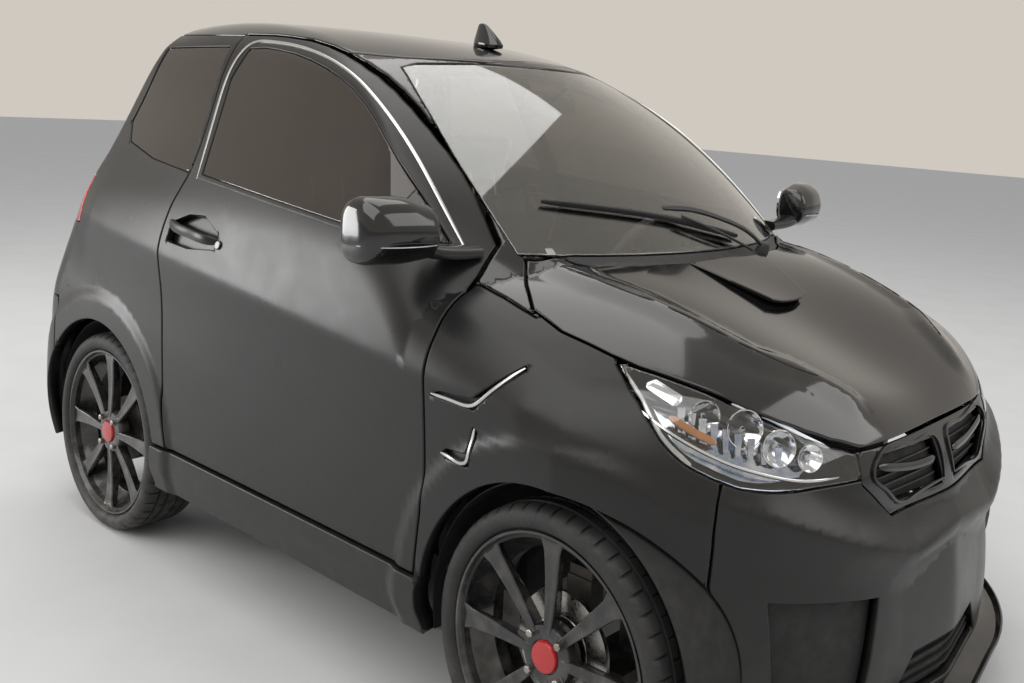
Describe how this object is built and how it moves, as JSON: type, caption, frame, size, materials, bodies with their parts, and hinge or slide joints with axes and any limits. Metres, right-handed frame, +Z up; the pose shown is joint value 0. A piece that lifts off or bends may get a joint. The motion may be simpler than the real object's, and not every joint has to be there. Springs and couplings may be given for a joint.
{
  "type": "two-seat microcar",
  "caption": "Small two-door city car with hinged doors, bonnet and tailgate, steered front wheels, glazed hollow cabin and black body panels.",
  "frame": {"origin": "on the ground under the middle of the length and width", "axes": "+X towards the nose, +Y to the left side, +Z up"},
  "size_m": [2.71, 1.784, 1.522],
  "materials": {
    "matt_black": "matt",
    "gloss_black": "gloss",
    "dark_glass": "tinted",
    "clear_glass": "clear",
    "lamp_chrome": "bright",
    "red_lamp": "gloss",
    "black_plastic": "grained",
    "tyre": "matt",
    "wheel_black": "satin",
    "steel": "satin",
    "frame_metal": "coated",
    "engine_metal": "rough",
    "seat_fabric": "woven",
    "seat_base": "grained"
  },
  "bodies": {
    "body": {"body_tub": "frame_metal", "dashboard": "black_plastic", "engine_block": "engine_metal", "exhaust": "steel", "fender_left": "matt_black", "fender_right": "matt_black", "front_bumper": "matt_black", "front_suspension": "steel", "fuel_tank": "black_plastic", "grille_band": "black_plastic", "headlamp_housings": "lamp_chrome", "headlamp_lenses": "clear_glass", "quarter_glass": "dark_glass", "quarter_left": "matt_black", "quarter_right": "matt_black", "rear_axle": "steel", "rear_bumper": "matt_black", "roof_panel": "gloss_black", "screen_frame": "gloss_black", "seat_bases": "seat_base", "seat_left": "seat_fabric", "seat_right": "seat_fabric", "side_skirts": "matt_black", "splitter": "black_plastic", "tail_lamps": "red_lamp", "windscreen": "clear_glass", "wiper": "black_plastic"},
    "door_left": {"door_left": "matt_black", "door_glass_left": "dark_glass", "mirror_left": "gloss_black"},
    "door_right": {"door_right": "matt_black", "door_glass_right": "dark_glass", "mirror_right": "gloss_black"},
    "bonnet": {"bonnet": "gloss_black"},
    "tailgate": {"tailgate": "matt_black", "tailgate_glass": "dark_glass"},
    "steer_left": {"knuckle_left": "steel"},
    "steer_right": {"knuckle_right": "steel"},
    "steering_wheel": {"steering_wheel": "black_plastic"},
    "roll_front_left": {"wheel_front_left": "wheel_black", "tyre_front_left": "tyre"},
    "roll_front_right": {"wheel_front_right": "wheel_black", "tyre_front_right": "tyre"},
    "roll_rear_left": {"wheel_rear_left": "wheel_black", "tyre_rear_left": "tyre"},
    "roll_rear_right": {"wheel_rear_right": "wheel_black", "tyre_rear_right": "tyre"}
  },
  "joints": [
    {"name": "door_left_hinge", "type": "hinge", "parent": "body", "child": "door_left", "pos_m": [0.4605, 0.742, 0.7], "axis": [0, 0, -1], "range_deg": [0, 65]},
    {"name": "door_right_hinge", "type": "hinge", "parent": "body", "child": "door_right", "pos_m": [0.4605, -0.742, 0.7], "axis": [0, 0, 1], "range_deg": [0, 65]},
    {"name": "bonnet_hinge", "type": "hinge", "parent": "body", "child": "bonnet", "pos_m": [0.588, 0, 0.97], "axis": [0, -1, 0], "range_deg": [0, 55]},
    {"name": "tailgate_hinge", "type": "hinge", "parent": "body", "child": "tailgate", "pos_m": [-1.0595, 0, 1.448], "axis": [0, 1, 0], "range_deg": [0, 78]},
    {"name": "steer_left_kingpin", "type": "hinge", "parent": "body", "child": "steer_left", "pos_m": [0.8, 0.61, 0.282], "axis": [0, 0, 1], "range_deg": [-32, 32]},
    {"name": "steer_right_kingpin", "type": "hinge", "parent": "body", "child": "steer_right", "pos_m": [0.8, -0.61, 0.282], "axis": [0, 0, 1], "range_deg": [-32, 32]},
    {"name": "steering_wheel_turn", "type": "hinge", "parent": "body", "child": "steering_wheel", "pos_m": [0.19, 0.3, 0.83], "axis": [0.9135, 0, -0.4067], "range_deg": [-320, 320]},
    {"name": "roll_front_left_axle", "type": "hinge", "parent": "steer_left", "child": "roll_front_left", "pos_m": [0.8, 0.6425, 0.282], "axis": [0, 1, 0], "continuous": true},
    {"name": "roll_front_right_axle", "type": "hinge", "parent": "steer_right", "child": "roll_front_right", "pos_m": [0.8, -0.6425, 0.282], "axis": [0, 1, 0], "continuous": true},
    {"name": "roll_rear_left_axle", "type": "hinge", "parent": "body", "child": "roll_rear_left", "pos_m": [-0.92, 0.6425, 0.282], "axis": [0, 1, 0], "continuous": true},
    {"name": "roll_rear_right_axle", "type": "hinge", "parent": "body", "child": "roll_rear_right", "pos_m": [-0.92, -0.6425, 0.282], "axis": [0, 1, 0], "continuous": true}
  ],
  "couplings": [
    {"joint": "steer_right_kingpin", "follows": "steer_left_kingpin", "ratio": 1},
    {"joint": "steering_wheel_turn", "follows": "steer_left_kingpin", "ratio": -10}
  ]
}
